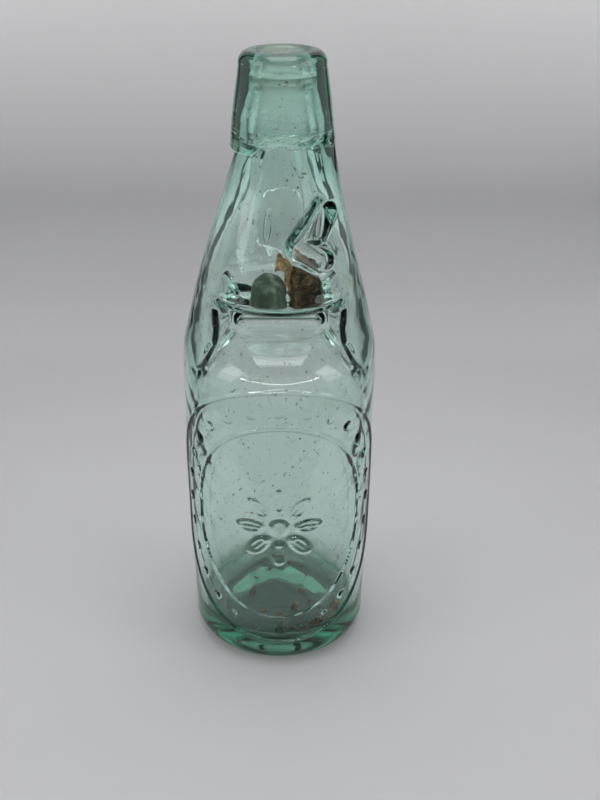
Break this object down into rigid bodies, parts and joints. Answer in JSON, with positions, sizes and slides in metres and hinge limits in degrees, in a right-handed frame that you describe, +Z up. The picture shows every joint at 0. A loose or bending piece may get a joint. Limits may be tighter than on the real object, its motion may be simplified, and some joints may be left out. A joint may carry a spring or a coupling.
{
  "type": "marble stopper bottle",
  "caption": "Blown glass bottle with a pinched neck chamber that holds a loose marble, which seals against a rubber ring inside the applied lip.",
  "frame": {"origin": "centre of the resting ring, on the surface the bottle stands on", "axes": "+Z up the bottle towards its mouth; -Y is the face with the raised rings, the lugs are on the +X side"},
  "size_m": [0.0702, 0.0706, 0.224],
  "materials": {
    "body_glass": "pale aqua green, seedy, lightly worn",
    "lip_glass": "pale aqua green, tooled",
    "ring_rubber": "perished, matte",
    "marble_glass": "frosted by wear",
    "dried_matter": "dry, matte",
    "dry_flake": "papery, matte",
    "crumbs": "dry, matte"
  },
  "bodies": {
    "bottle": {"glass_body": "body_glass", "applied_lip": "lip_glass", "rubber_ring": "ring_rubber", "dried_clump": "dried_matter", "papery_flake": "dry_flake", "base_crumbs": "crumbs"},
    "stopper": {"marble": "marble_glass"}
  },
  "joints": [
    {"name": "marble_lift", "type": "slide", "parent": "bottle", "child": "stopper", "axis": [0.0701, 0, 0.9975], "range_m": [0, 0.06787]}
  ]
}
